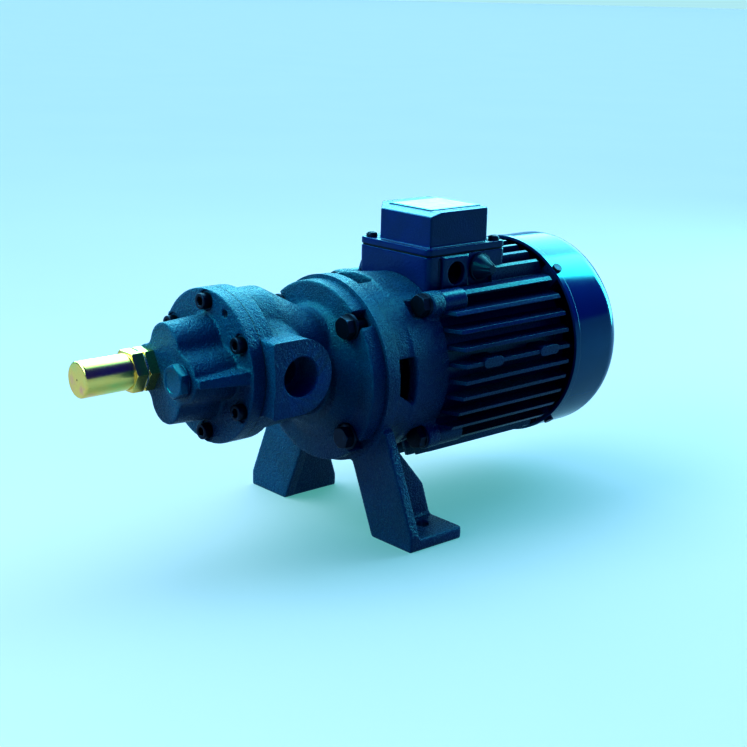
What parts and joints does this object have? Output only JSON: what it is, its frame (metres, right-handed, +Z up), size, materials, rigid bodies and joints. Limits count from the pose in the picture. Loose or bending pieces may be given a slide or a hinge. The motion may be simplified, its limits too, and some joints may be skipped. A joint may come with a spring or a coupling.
{
  "type": "gear pump",
  "caption": "External gear pump with a relief valve in its cover, joined by a footed lantern bracket to a finned electric motor with a terminal box.",
  "frame": {"origin": "on the floor, midway between the two foot bolt holes, under the shaft line", "axes": "+X along the shaft from the pump to the motor, +Y across to the far foot, +Z up"},
  "size_m": [0.3939, 0.1684, 0.2064],
  "materials": {
    "cast_iron_painted": "blue enamel over a fine sand-cast surface",
    "motor_painted": "dark blue enamel on die castings",
    "cowl_painted": "glossy blue enamel on pressed sheet",
    "box_painted": "satin dark blue enamel",
    "screw_painted": "blue enamel over steel",
    "black_steel": "black oxide",
    "gold_zinc": "yellow chromated zinc",
    "bright_steel": "ground",
    "bearing_steel": "polished",
    "bronze": "turned bronze",
    "brass": "turned brass",
    "copper_wire": "enamelled windings",
    "core_steel": "stacked sheet",
    "black_rubber": "moulded",
    "gasket_sheet": "pressed fibre sheet",
    "dark_plastic": "moulded",
    "label_metal": "blank foil"
  },
  "bodies": {
    "casing": {"pump_body": "cast_iron_painted", "pump_cover": "cast_iron_painted", "cover_gasket": "gasket_sheet", "cover_screws": "black_steel", "cover_dowels": "bright_steel", "cover_bushes": "bronze", "body_bushes": "bronze", "shaft_seal": "black_rubber", "valve_seat": "bright_steel", "valve_spring": "bright_steel", "valve_bonnet": "gold_zinc", "adjuster_nut": "gold_zinc", "cap_washer": "bright_steel", "valve_cap": "gold_zinc", "side_plug": "screw_painted", "plug_washer": "screw_painted", "flange_bolts": "black_steel", "flange_washers": "black_steel", "bracket": "cast_iron_painted", "motor_bolts": "black_steel", "motor_washers": "black_steel", "stator_core": "core_steel", "stator_windings": "copper_wire", "bearing_outer_rings": "bearing_steel", "front_shield": "motor_painted", "motor_housing": "motor_painted", "rear_shield": "motor_painted", "shield_screws": "black_steel", "wave_washer": "bright_steel", "fan_cowl": "cowl_painted", "cowl_screws": "black_steel", "terminal_box": "box_painted", "box_gasket": "black_rubber", "box_lid": "box_painted", "lid_screws": "black_steel", "entry_plug": "dark_plastic", "terminal_board": "dark_plastic", "terminal_studs": "brass", "lid_label": "label_metal"},
    "drive_line": {"motor_shaft": "bright_steel", "rotor_core": "core_steel", "fan": "dark_plastic", "fan_clip": "bright_steel", "bearing_inner_rings": "bearing_steel", "bearing_balls": "bearing_steel", "motor_coupling_half": "bright_steel", "coupling_spider": "black_rubber", "pump_coupling_half": "bright_steel", "pump_drive_shaft": "bright_steel", "drive_gear": "bright_steel", "drive_keys": "bright_steel"},
    "driven_line": {"driven_gear": "bright_steel", "driven_shaft": "bright_steel"},
    "relief_poppet": {"valve_poppet": "bright_steel"},
    "setting_screw": {"valve_adjuster": "bright_steel"}
  },
  "joints": [
    {"name": "drive_rotation", "type": "hinge", "parent": "casing", "child": "drive_line", "pos_m": [0, 0, 0.105], "axis": [1, 0, 0], "continuous": true},
    {"name": "driven_gear_rotation", "type": "hinge", "parent": "casing", "child": "driven_line", "pos_m": [0, 0, 0.1375], "axis": [1, 0, 0], "continuous": true},
    {"name": "relief_poppet_lift", "type": "slide", "parent": "casing", "child": "relief_poppet", "axis": [-1, 0, 0], "range_m": [0, 0.0025], "stiffness_N_per_m": 10800, "springref_m": -0.0046, "deforming": ["valve_spring"]},
    {"name": "pressure_setting", "type": "slide", "parent": "casing", "child": "setting_screw", "axis": [1, 0, 0], "range_m": [-0.003, 0.002], "deforming": ["valve_spring"]}
  ],
  "couplings": [
    {"joint": "driven_gear_rotation", "follows": "drive_rotation", "ratio": -1}
  ]
}
